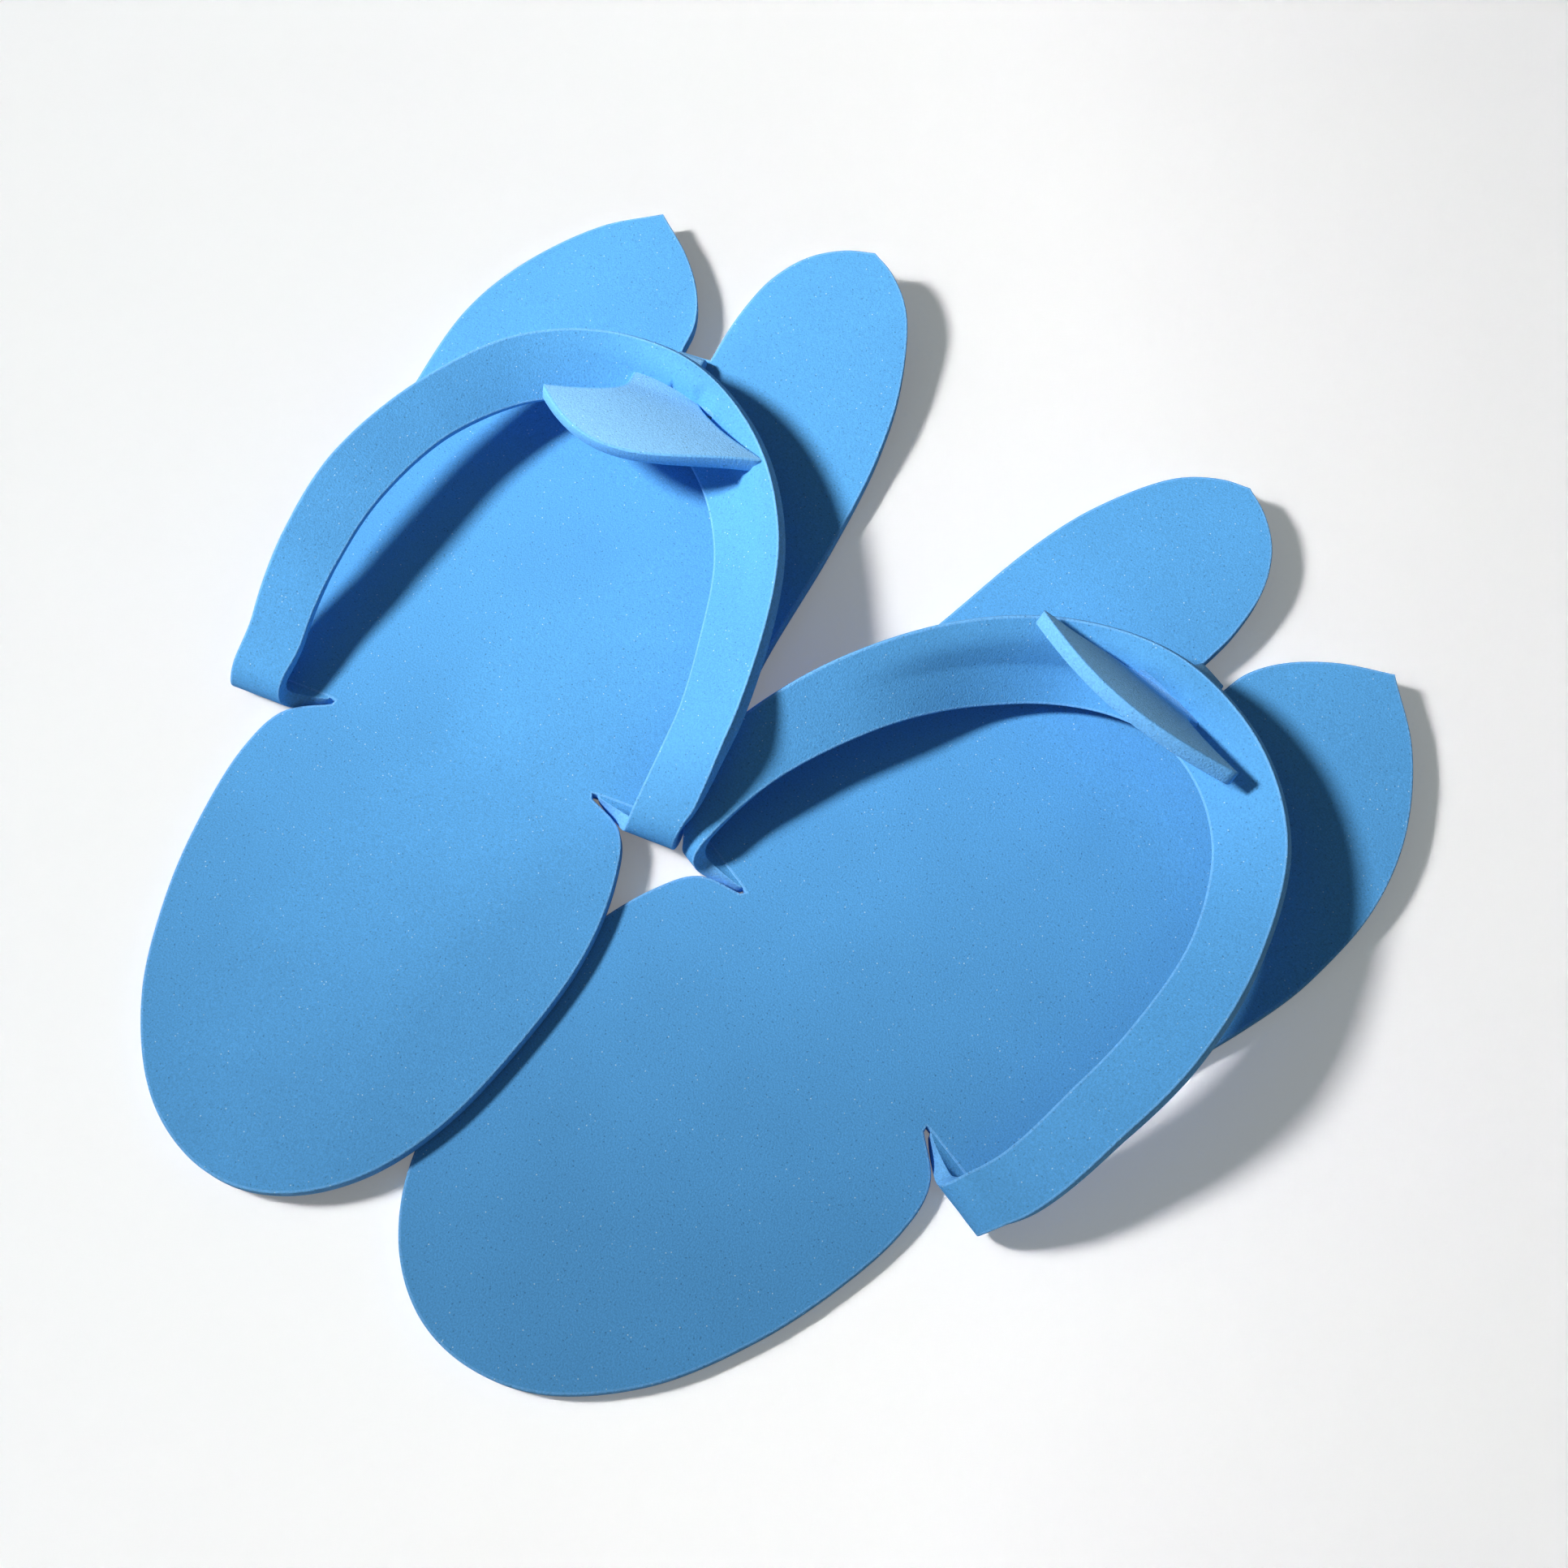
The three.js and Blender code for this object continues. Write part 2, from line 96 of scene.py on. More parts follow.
HINGE_BLEND_HALF = 3.2      # half the length round the hinge whose two ends are worked out; nothing uses them
HEEL_REST = THICKNESS + 0.3
DRAPE_START = 66.0          # the left sole starts to rise this far outside the right one's outline
DRAPE_END = 13.0
DRAPE_FADE = (165.0, ROOT_Y - 5)
STRAP_TURN = 0.047
STRAP_MIDDLE = -8.0
HEEL_RELIEF = 0.6
FOLD_CLEARANCE = 0.15
KERF_AT_EARS = 1.4
KERF_AT_HEEL = 0.5
TRIMMED = (0.855, 0.93)     # shares of the strap's length, from the little-toe ear
INNER_LEG_START = (0.69, 0.8)
INNER_LEG_END = (0.82, 0.9)

# ---- the two shoes ----

RIGHT = {
    "name": "right",
    "side": 1,
    "inner_lobe_rise": 6.0,
    "outer_lobe_rise": 4.2,
    "outer_lobe_spread": 2.2,
    "root_trim": 10.6,          # cut off the big-toe end of the strap
    "inner_leg_lift": 0.0,
    "inner_leg_bank": 0.0,
    "pinch": 0.02,              # share of its width that the worn strap is drawn in
    "pinch_middle": -8.0,
    "pinch_from": ROLLED,
    "pinch_to": 3 * ROLLED,
    "shorten": 0.0,
    "bend_set_back": 3.4,       # the tongue starts to bend while still inside the sole
    "slit_x": -17.5,
    "slit_set_back": 0.0,
    "slit_skew": 2.5,
    "slit_shift": 1.0,
    "slit_half": 10.6,
    "slit_v": 0.62,             # the slit's place as a share of the strap's width
    "tail_skew": 9.0,
    "tail_slide": -4.6,
    "tail_bulge": 9.8,
    "tail_lean": 0.0,           # how far the tail's front edge is fuller on one side
    "tail_start": 54.0,         # the tail's slope in degrees, from the hinge to its front edge
    "tail_end": 36.0,
    "tail_cup": 0.0,
}
LEFT = {
    "name": "left",
    "side": -1,
    "inner_lobe_rise": 10.5,
    "outer_lobe_rise": 4.4,
    "outer_lobe_spread": -3.2,
    "root_trim": 2.5,
    "inner_leg_lift": 2.5,
    "inner_leg_bank": 7.0,
    "pinch": 0.075,
    "pinch_middle": -35.0,
    "pinch_from": 0.0,
    "pinch_to": 1.6 * ROLLED,
    "shorten": 0.03,
    "bend_set_back": 6.2,
    "slit_x": -18.0,
    "slit_set_back": 3.3,
    "slit_skew": 8.5,
    "slit_shift": -4.0,
    "slit_half": 11.6,
    "slit_v": 0.66,
    "tail_skew": -0.5,
    "tail_slide": -2.2,
    "tail_bulge": 13.4,
    "tail_lean": 0.42,
    "tail_start": 32.0,
    "tail_end": 4.0,
    "tail_cup": 2.0,
}

# ---- outlines of the flat sheet ----

# heel-side edge, outside edge, lift and bank of the strap, from the little-toe ear round the heel
STRAP_STATIONS = [
    ((27, 116), (53, 116), 0, 0),
    ((37.8, 109.5), (54, 107.5), 0, 0),
    ((42.5, 97), (58, 96), 1.2, 8),
    ((43.8, 77), (60.5, 75), 7.6, 16),
    ((42, 56), (59, 51.5), 10.2, 18),
    ((35.5, 32), (51, 25), 8.8, 20),
    ((22.5, 12), (35, -1.5), 5, 26),
    ((8, 2.5), (14, -15), 3, 32),
    ((-6, 0), (-8, -18), 2.3, 34),
    ((-20, 3.5), (-28.5, -13), 2, 33),
    ((-33, 13), (-47, -0.5), 2, 30),
    ((-44, 29), (-62, 20), 2.8, 27),
    ((-53, 54), (-72.5, 49.5), 4, 24),
    ((-58, 79), (-76, 78), 3.2, 19),
    ((-57, 99), (-73.5, 98), 0.4, 9),
    ((-53, 110.5), (-70.5, 108.5), 0, 0),
    ((-43, 116), (-69.5, 116), 0, 0),
]
BIG_TOE_SIDE = [(-69.5, 116.4), (-68, 140), (-68, 163), (-71.5, 199), (-73.5, 230), (-72, 250),
                (-66, 270), (-58.5, 279), (-52, 283)]
BIG_TOE_GAP_EDGE = [(-52, 283), (-44, 281), (-35.5, 276), (-28.5, 267), (-24, 254), (-22.1, ROOT_Y)]
LITTLE_TOE_GAP_EDGE = [(-14, ROOT_Y), (-14, 249), (-10.5, 258.5), (-3, 268.5), (8, 278)]
LITTLE_TOE_SIDE = [(8, 278), (24, 268), (39, 251), (48, 232), (51.5, 212), (52, 190),
                   (51, 165), (51.5, 140), (53, 116.4)]
TONGUE_HALF_WIDTHS = [(0, 3.5), (8, 4.2), (16, 6.5), (24, 9.4)]
TAIL_HALF_WIDTHS = [(0, 9.4), (3, 9.8), (6, 11.4), (9, 15.2), (11.5, 21), (13.6, 30)]
BARB_AT = 13.6
BARB_BLUNT = 1.2
TAIL_FRONT_HALF = 29.6

# ---- how finely the sheets are built ----

EDGE_RADIUS = 0.3           # rounding of every cut edge
EDGE_HOLD = 0.65            # from an edge to the first ring on the face
OUTLINE_STEP = 1.4
GRID_STEP = 2.6
FINE_STEP = 1.3
STRAP_STEP = 2.0
ROLL_END = 34.0             # the strap's sheet is built finer up to here from both ears
ROLL_STEP = 0.7 * FINE_STEP
SLIT_OPEN_HALF = 2.3
ROOT_EMBEDDED = 3.0         # length of strap and tongue that runs on inside the sole
INSIDE_SOLE = 0.1           # how far those ends keep below the sole's faces


# ---- small mathematics ----

def lerp(a, b, t):
    return a + (b - a) * t


def smoothstep(x, low, high):
    t = np.clip((np.asarray(x, float) - low) / (high - low), 0, 1)
    return t * t * (3 - 2 * t)


def bell(offset, width):
    return np.exp(-((offset / width) ** 2))


def curve_points(points, t):
    """Points of a centripetal Catmull-Rom curve at the shares t of its length in segments."""
    points = np.asarray(points, float)
    padded = np.vstack([2 * points[0] - points[1], points, 2 * points[-1] - points[-2]])
    place = np.clip(np.asarray(t, float), 0, 1) * (len(points) - 1)
    first = np.minimum(place.astype(int), len(points) - 2)
    share = (place - first)[:, None]
    p0, p1, p2, p3 = (padded[first + k] for k in range(4))
    pairs = ((p0, p1), (p1, p2), (p2, p3))
    d0, d1, d2 = (np.sqrt(np.linalg.norm(b - a, axis=1))[:, None] for a, b in pairs)
    start = ((p1 - p0) / d0 - (p2 - p0) / (d0 + d1) + (p2 - p1) / d1) * d1
    end = ((p2 - p1) / d1 - (p3 - p1) / (d1 + d2) + (p3 - p2) / d2) * d1
    square = 3 * (p2 - p1) - 2 * start - end
    cube = 2 * (p1 - p2) + start + end
    return p1 + share * (start + share * (square + share * cube))


def resample(points, step, closed=False):
    """The same line with points at most a step apart."""
    points = [np.asarray(p, float) for p in points]
    pairs = list(zip(points, points[1:] + points[:1])) if closed else list(zip(points, points[1:]))
    line = []
    for a, b in pairs:
        count = max(1, math.ceil(np.linalg.norm(b - a) / step))
        line += [lerp(a, b, k / count) for k in range(count)]
    if not closed:
        line.append(points[-1])
    return np.array(line)


def length_along(points):
    """Distance from the first point to each point of a line."""
    return np.concatenate([[0], np.cumsum(np.linalg.norm(np.diff(points, axis=0), axis=1))])


def even_line(points, step):
    """A line through the same places, walked in even steps."""
    along = length_along(points)
    wanted = np.linspace(0, along[-1], math.ceil(along[-1] / step) + 1)
    return np.stack([np.interp(wanted, along, points[:, k]) for k in range(points.shape[1])], axis=1)


def even_curve(points, step):
    """A curve through points, walked in even steps."""
    fine = curve_points(points, np.linspace(0, 1, 60 * len(points)))
    return even_line(fine, step)


def depth_inside(outline, x, y):
    """Depth of points inside an outline, negative outside."""
    here = np.stack([np.asarray(x, float), np.asarray(y, float)], axis=-1)
    inside = np.zeros(len(here), bool)
    nearest = np.full(len(here), np.inf)
    for a, b in zip(np.roll(outline, 1, axis=0), outline):
        edge = b - a
        share = np.clip((here - a) @ edge / max(edge @ edge, 1e-12), 0, 1)
        nearest = np.minimum(nearest, np.linalg.norm(here - a - share[:, None] * edge, axis=1))
        if a[1] != b[1]:
            crosses = ((a[1] > here[:, 1]) != (b[1] > here[:, 1])) & (
                here[:, 0] < a[0] + edge[0] * (here[:, 1] - a[1]) / edge[1])
            inside ^= crosses
    return np.where(inside, nearest, -nearest)


# ---- the shoes' frames, from the record's strap hinges ----

def record_joint(name):
    joints = frame["record"]["behaviour"]["joints"]
    return next(joint for joint in joints if joint["name"] == name)


def shoe_frame(shoe):
    """Origin and axes of a shoe in the row frame, in millimetres."""
    hinge = record_joint(shoe["name"] + "_strap_flex")
    axis = np.array(hinge["axis"], float)
    x_axis = shoe["side"] * axis
    y_axis = np.array([-axis[1], axis[0], 0])
    hinge_at = np.array(hinge["pos_m"], float) / MM
    origin = hinge_at - STRAP_MIDDLE * x_axis - FOLD_Y * y_axis
    origin[2] = 0
    return origin, x_axis, y_axis


for shoe in (RIGHT, LEFT):
    shoe["frame"] = shoe_frame(shoe)


def to_row(shoe, points):
    origin, x_axis, y_axis = shoe["frame"]
    points = np.asarray(points, float)
    flat = origin + points[:, :1] * x_axis + points[:, 1:2] * y_axis
    return np.column_stack([flat[:, :2], points[:, 2]]) * MM


def left_to_right(x, y):
    """Left shoe's x and y in the right shoe's frame."""
    row = to_row(LEFT, np.column_stack([x, y, np.zeros(len(x))])) / MM
    origin, x_axis, y_axis = RIGHT["frame"]
    return (row - origin) @ x_axis, (row - origin) @ y_axis


# ---- soles ----

def spread_lobe(shoe, points):
    """The outline with its little-toe lobe moved sideways."""
    x, y = points[:, 0], points[:, 1]
    share = smoothstep(y, WIDEST_Y - 25, TOE_BREAK_Y) * smoothstep(x, 0, 45)
    return np.column_stack([x + shoe["outer_lobe_spread"] * share, y])


def sole_outline(shoe):
    heel_points = [station[0] for station in STRAP_STATIONS]
    u = np.linspace(0, 1, 16 * 20 + 1)
    heel = curve_points(heel_points, u)
    heel[:, 1] -= HEEL_RELIEF * (1 - smoothstep(np.minimum(u, 1 - u), 0.05, 0.12))
    heel[[0, -1], 1] = FOLD_Y + FOLD_CLEARANCE
    lobes = [even_curve(edge, OUTLINE_STEP)[1:] for edge in (BIG_TOE_GAP_EDGE, LITTLE_TOE_GAP_EDGE)]
    big_toe = even_curve(BIG_TOE_SIDE, OUTLINE_STEP)
    little_toe = even_curve(LITTLE_TOE_SIDE, OUTLINE_STEP)[1:]
    gap_back = np.array([LITTLE_TOE_GAP_EDGE[0]], float)
    front = np.vstack([big_toe, lobes[0], gap_back, lobes[1], little_toe])
    heel = even_line(heel, OUTLINE_STEP)
    outline = resample(np.vstack([heel, front]), OUTLINE_STEP, closed=True)
    return spread_lobe(shoe, outline)


RIGHT["outline"] = sole_outline(RIGHT)
LEFT["outline"] = sole_outline(LEFT)


def underside(shoe, x, y):
    """Height of a sole's underside. The left one rises over the right one's edge."""
    x = np.asarray(x, float)
    y = np.asarray(y, float)
    gap_side = smoothstep(x, ROOT_X - 10, ROOT_X + 10)
    tip_rise = lerp(shoe["inner_lobe_rise"], shoe["outer_lobe_rise"], gap_side)
    root_lift = ROOT_RISE * smoothstep(y, TOE_BREAK_Y - 15, ROOT_Y + 3)
    along_lobe = np.maximum((y - LOBE_START_Y) / LOBE_LENGTH, 0)
    height = root_lift + (tip_rise - ROOT_RISE) * along_lobe ** LOBE_CURVE
    if shoe is RIGHT:
        return height
    depth = depth_inside(RIGHT["outline"], *left_to_right(x, y))
    fade = 1 - smoothstep(y, *DRAPE_FADE)
    return height + HEEL_REST * smoothstep(depth, -DRAPE_START, -DRAPE_END) * fade


def place_sole(shoe):
    def place(flat, height):
        x, y = flat[:, 0], flat[:, 1]
        return np.column_stack([x, y, underside(shoe, x, y) + THICKNESS / 2 + height])
    return place


# ---- strap ----

def strap_lines(u):
    """Heel-side edge, outside edge, lift and bank of the strap."""
    heel = curve_points([station[0] for station in STRAP_STATIONS], u)
    rim = curve_points([station[1] for station in STRAP_STATIONS], u)
    rises = curve_points([(station[2], station[3], i) for i, station in enumerate(STRAP_STATIONS)], u)
    return heel, rim, rises[:, 0], rises[:, 1]


def strap_ruler():
    """Shares of the strap's length against millimetres along its middle line."""
    u = np.linspace(0, 1, 801)
    heel, rim, _, _ = strap_lines(u)
    middle = (heel + rim) / 2
    return u, length_along(middle)


RULER_U, RULER_MM = strap_ruler()
STRAP_LENGTH = RULER_MM[-1]


def strap_share(along):
    return np.interp(along, RULER_MM, RULER_U)


def strap_width(shoe, u):
    heel, rim, _, _ = strap_lines(u)
    rim[:, 0] += shoe["root_trim"] * smoothstep(u, *TRIMMED)
    return np.linalg.norm(rim - heel, axis=1)


def strap_kerf(u):
    return lerp(KERF_AT_EARS, KERF_AT_HEEL, smoothstep(np.minimum(u, 1 - u), 0.04, 0.1))


def lips_at(shoe, from_slit, v):
    """Height that the slit's two lips add to the strap: the rear one dips, the front one rises."""
    dip = REAR_LIP_DIP * bell(from_slit + REAR_LIP_SHIFT, REAR_LIP_WIDTH)
    rise = FRONT_LIP_RISE * bell(from_slit, FRONT_LIP_WIDTH)
    ridge = rise * (1 - FRONT_LIP_FALL * smoothstep(v, shoe["slit_v"], 1))
    return lerp(-dip, ridge, smoothstep(v, shoe["slit_v"] - LIP_BLEND, shoe["slit_v"] + LIP_BLEND))


def strap_middle(shoe, along, across):
    """Middle surface of the worn strap."""
    u = strap_share(along)
    heel, rim, lift, bank = strap_lines(u)
    on_inner_leg = smoothstep(u, *INNER_LEG_START) * (1 - smoothstep(u, *INNER_LEG_END))
    lift = lift + shoe["inner_leg_lift"] * on_inner_leg
    bank = np.radians(bank + shoe["inner_leg_bank"] * on_inner_leg)
    rim[:, 0] += shoe["root_trim"] * smoothstep(u, *TRIMMED)
    width = np.linalg.norm(rim - heel, axis=1)
    kerf = strap_kerf(u)
    v = (across - kerf) / (width - kerf)
    flat = heel + (rim - heel) * (across * np.cos(bank) / width)[:, None]
    before = np.maximum(-along, 0) + np.maximum(along - STRAP_LENGTH, 0)
    past = np.maximum(FOLD_Y - flat[:, 1], 0)
    turn = np.minimum(past / CURL_RADIUS, math.pi)
    run = np.maximum(past - ROLLED, 0)
    lips = lips_at(shoe, flat[:, 0] - shoe["slit_x"], v) * smoothstep(past, LIPS_FROM, LIPS_FULL)
    stays = 1 - smoothstep(past, ROLLED, FOLD_Y)
    rest = underside(shoe, flat[:, 0], FOLD_Y + before) * stays
    forward = run - CURL_RADIUS * np.sin(turn)
    worn = smoothstep(past, ROLLED, 3 * ROLLED)
    sideways = flat[:, 0] - STRAP_MIDDLE
    pinched = smoothstep(past, shoe["pinch_from"], shoe["pinch_to"])
    pinch = pinched * shoe["pinch"] * (flat[:, 0] - shoe["pinch_middle"])
    return np.column_stack([
        flat[:, 0] - worn * forward * STRAP_TURN - pinch,
        FOLD_Y + before + forward + worn * (sideways * STRAP_TURN - forward * shoe["shorten"]),
        THICKNESS / 2 + CURL_RADIUS * (1 - np.cos(turn)) + lift + across * np.sin(bank) + lips + rest,
    ])


def place_strap(shoe):
    step = 0.4

    def place(flat, height):
        along, across = flat[:, 0], flat[:, 1]
        centre = strap_middle(shoe, along, across)
        ahead = strap_middle(shoe, along + step, across) - strap_middle(shoe, along - step, across)
        over = strap_middle(shoe, along, across + step) - strap_middle(shoe, along, across - step)
        normal = np.cross(ahead, over)
        normal /= np.linalg.norm(normal, axis=1)[:, None]
        embedded = (along < 0) | (along > STRAP_LENGTH)
        reach = np.where(embedded, 1 - 2 * INSIDE_SOLE / THICKNESS, 1)
        return centre + normal * (height * reach)[:, None]
    return place


def strap_outline(shoe):
    """Outline of the strap's flat sheet: x along its middle line, y from its heel-side edge."""
    along = np.concatenate([
        np.arange(-ROOT_EMBEDDED, ROLL_END, ROLL_STEP),
        np.arange(ROLL_END, STRAP_LENGTH - ROLL_END, OUTLINE_STEP),
        np.arange(STRAP_LENGTH - ROLL_END, STRAP_LENGTH + ROOT_EMBEDDED, ROLL_STEP),
    ])
    u = strap_share(along)
    inside = np.where((along < 0) | (along > STRAP_LENGTH), INSIDE_SOLE, 0)
    inner = np.column_stack([along, strap_kerf(u) + inside])
    outer = np.column_stack([along, strap_width(shoe, u) - inside])
    return resample(np.vstack([inner, outer[::-1]]), OUTLINE_STEP * 1.5, closed=True)


def slit_hole(shoe):
    """Pointed opening in the strap's flat sheet, where the tongue comes through."""
    across = np.linspace(2, 18, 60)
    along = np.linspace(STRAP_LENGTH * 0.4, STRAP_LENGTH * 0.62, 160)
    grid = np.array([(a, c) for a in along for c in across])
    points = strap_middle(shoe, grid[:, 0], grid[:, 1])
    skew = math.radians(shoe["slit_skew"])
    centre_x = shoe["slit_x"] + shoe["slit_shift"]
    shares = np.linspace(-1, 1, 15)
    rims = []
    for share in shares:
        x = centre_x + share * shoe["slit_half"] * math.cos(skew)
        y = SLIT_Y - shoe["slit_set_back"] + (x - shoe["slit_x"]) * math.tan(skew)
        nearest = np.argmin((points[:, 0] - x) ** 2 + (points[:, 1] - y) ** 2)
        rims.append(grid[nearest])
    rims = smooth_rows(np.array(rims))
    open_half = SLIT_OPEN_HALF * (1 - np.abs(shares) ** 1.7) + 0.05
    opening = np.column_stack([np.zeros(len(rims)), open_half])
    return resample(np.vstack([rims + opening, (rims - opening)[::-1]]), OUTLINE_STEP, closed=True)


def smooth_rows(rows):
    """A parabola through noisy rows, row by row."""
    t = np.linspace(-1, 1, len(rows))
    return np.column_stack([np.polyval(np.polyfit(t, rows[:, k], 2), t) for k in range(rows.shape[1])])


# ---- tongue and tail ----

def neck_of(shoe):
    """Angles and lengths of the tongue from its root to the hinge."""
    bend_centre_z = ROOT_RISE + THICKNESS / 2 + ROOT_BEND
    to_slit = np.array([ROOT_Y - SLIT_Y + shoe["slit_set_back"], SLIT_Z - bend_centre_z])
    length = np.linalg.norm(to_slit)
    rise = math.atan2(to_slit[1], to_slit[0]) - math.asin(ROOT_BEND / length)
    bend_turn = math.pi - rise
    bend_length = ROOT_BEND * bend_turn
    slit = bend_length + math.sqrt(length ** 2 - ROOT_BEND ** 2)
    return {"rise": rise, "bend_turn": bend_turn, "bend_length": bend_length, "slit": slit,
            "hinge": slit + HINGE_PAST_SLIT}


def neck_path(shoe):
    """Frames along the tongue and tail, walked in small steps from the root."""
    neck = neck_of(shoe)
    step = 0.1
    front = neck["slit"] + BARB_AT + shoe["tail_bulge"]
    distance = np.arange(-ROOT_EMBEDDED, front + 4, step)
    turn_start = neck["hinge"] - HINGE_BEND_HALF
    turn_end = neck["hinge"] + HINGE_BEND_HALF
    pitch = np.where(distance < 0, 0, np.minimum(distance / ROOT_BEND, neck["bend_turn"]))
    rises = [neck["rise"], math.radians(shoe["tail_start"]), math.radians(shoe["tail_end"])]
    bend = np.interp(distance, [turn_start, turn_end, front], rises)
    pitch = np.where(distance > neck["bend_length"], math.pi - bend, pitch)
    skew_slit = shoe["slit_skew"] * smoothstep(distance, neck["bend_length"], neck["slit"])
    past_slit = smoothstep(distance, neck["slit"], neck["hinge"])
    skew = np.radians(lerp(skew_slit, shoe["tail_skew"], past_slit))
    heading = np.column_stack([-np.sin(skew), np.cos(skew), np.zeros(len(skew))])
    up = np.array([0, 0, 1])
    along = heading * np.cos(pitch)[:, None] + up * np.sin(pitch)[:, None]
    across = np.column_stack([np.cos(skew), np.sin(skew), np.zeros(len(skew))])
    walk = along.copy()
    walk[:, 0] = 0
    centre = np.cumsum(walk, axis=0) * step
    start = np.searchsorted(distance, 0)
    root = np.array([0, ROOT_Y - shoe["bend_set_back"], ROOT_RISE + THICKNESS / 2])
    centre += root - centre[start]
    shift = lerp(ROOT_X, shoe["slit_x"], smoothstep(distance, 0, neck["slit"]))
    centre[:, 1] += shoe["bend_set_back"] * smoothstep(distance, neck["bend_length"], neck["slit"])
    slide = shoe["tail_slide"] * smoothstep(distance, neck["slit"] - 1, neck["hinge"] + 6)
    beyond = np.maximum(distance - neck["hinge"], 0)
    centre[:, 0] = shift + slide + beyond * along[:, 0]
    return {"distance": distance, "centre": centre, "across": across, "along": along, "neck": neck}


def place_tongue(shoe):
    path = neck_path(shoe)
    front = path["neck"]["slit"] + BARB_AT

    def at(rows, distance):
        return np.column_stack([np.interp(distance, path["distance"], rows[:, k]) for k in range(3)])

    def place(flat, height):
        offset, distance = flat[:, 0], flat[:, 1]
        across = at(path["across"], distance)
        normal = np.cross(across, at(path["along"], distance))
        normal /= np.linalg.norm(normal, axis=1)[:, None]
        reach = np.where(distance < 0, 1 - 2 * INSIDE_SOLE / THICKNESS, 1)
        past_hinge = smoothstep(distance, path["neck"]["hinge"], front)
        cup = shoe["tail_cup"] * past_hinge * (offset / TAIL_FRONT_HALF) ** 2
        lift = height * reach + cup
        return at(path["centre"], distance) + across * offset[:, None] + normal * lift[:, None]
    return place


def tongue_outline(shoe):
    """Outline of the flat tongue and tail: x across, y along from the root."""
    neck = neck_of(shoe)
    scale = neck["slit"] / TONGUE_HALF_WIDTHS[-1][0]
    rows = [(-ROOT_EMBEDDED, TONGUE_HALF_WIDTHS[0][1])]
    rows += [(position * scale, half) for position, half in TONGUE_HALF_WIDTHS]
    rows += [(neck["slit"] + reach, half) for reach, half in TAIL_HALF_WIDTHS[1:]]
    side = even_curve([(half, distance) for distance, half in rows], OUTLINE_STEP)
    tip = neck["slit"] + BARB_AT + BARB_BLUNT
    shares = np.linspace(1, -1, 45)
    bulge = (shoe["tail_bulge"] - BARB_BLUNT) * (1 - shares ** 2) * (1 + shoe["tail_lean"] * shares)
    front = np.column_stack([TAIL_FRONT_HALF * shares, tip + bulge])
    other = side[::-1] * [-1, 1]
    return resample(np.vstack([side, front, other]), OUTLINE_STEP * 1.2, closed=True)


# ---- sheet building ----

def loop_normals(loop):
    """Unit directions that point into the sheet, for a loop walked anticlockwise round it."""
    before = loop - np.roll(loop, 1, axis=0)
    after = np.roll(loop, -1, axis=0) - loop
    before /= np.maximum(np.linalg.norm(before, axis=1), 1e-9)[:, None]
    after /= np.maximum(np.linalg.norm(after, axis=1), 1e-9)[:, None]
    tangent = before + after
    normal = np.column_stack([-tangent[:, 1], tangent[:, 0]])
    return normal / np.maximum(np.linalg.norm(normal, axis=1), 1e-9)[:, None]


def anticlockwise(loop):
    x, y = loop[:, 0], loop[:, 1]
    area = np.sum(x * np.roll(y, -1) - y * np.roll(x, -1))
    return loop if area > 0 else loop[::-1]


def without_repeats(loop):
    gap_to_next = np.linalg.norm(np.roll(loop, -1, axis=0) - loop, axis=1)
    return loop[gap_to_next > 0.05]


def edge_profile():
    """Insets and heights of the rings from the top face round the cut edge to the bottom face."""
    half = THICKNESS / 2
    corner = EDGE_RADIUS * (1 - math.sqrt(0.5))
    upper = [(EDGE_HOLD, half), (EDGE_RADIUS, half), (corner, half - corner), (0, half - EDGE_RADIUS)]
    return upper + [(0, 0)] + [(inset, -height) for inset, height in reversed(upper)]


def grid_points(loops, step, fine_at):
    """Points inside the sheet, denser where it bends."""
    low = loops[0].min(axis=0)
    high = loops[0].max(axis=0)
    points = []
    rows = np.arange(low[1] + step / 2, high[1], step)
    for i, y in enumerate(rows):
        offset = step / 2 * (i % 2)
        x = low[0] + offset
        while x < high[0]:
            points.append((x, y))
            x += FINE_STEP if fine_at(x, y) else step
    points = np.array(points)
    depth = depth_inside(loops[0], points[:, 0], points[:, 1])
    for hole in loops[1:]:
        depth = np.minimum(depth, -depth_inside(hole, points[:, 0], points[:, 1]))
    return points[depth > EDGE_HOLD + 0.9]


def triangulate(rings, grid):
    """Triangles over the rings and grid points, kept where they lie inside the sheet."""
    flat = [Vector(p) for ring in rings for p in ring] + [Vector(p) for p in grid]
    edges = []
    start = 0
    for ring in rings:
        edges += [(start + k, start + (k + 1) % len(ring)) for k in range(len(ring))]
        start += len(ring)
    points, _, faces, origins, _, _ = delaunay_2d_cdt(flat, edges, [], 0, 1e-6)
    points = np.array([tuple(p) for p in points])
    faces = np.array(faces)
    centres = points[faces].mean(axis=1)
    depth = depth_inside(rings[0], centres[:, 0], centres[:, 1])
    for hole in rings[1:]:
        depth = np.minimum(depth, -depth_inside(hole, centres[:, 0], centres[:, 1]))
    index = {}
    for new, olds in enumerate(origins):
        for old in olds:
            index[old] = new
    return points, faces[depth > 0], index


def nowhere(x, y):
    return False


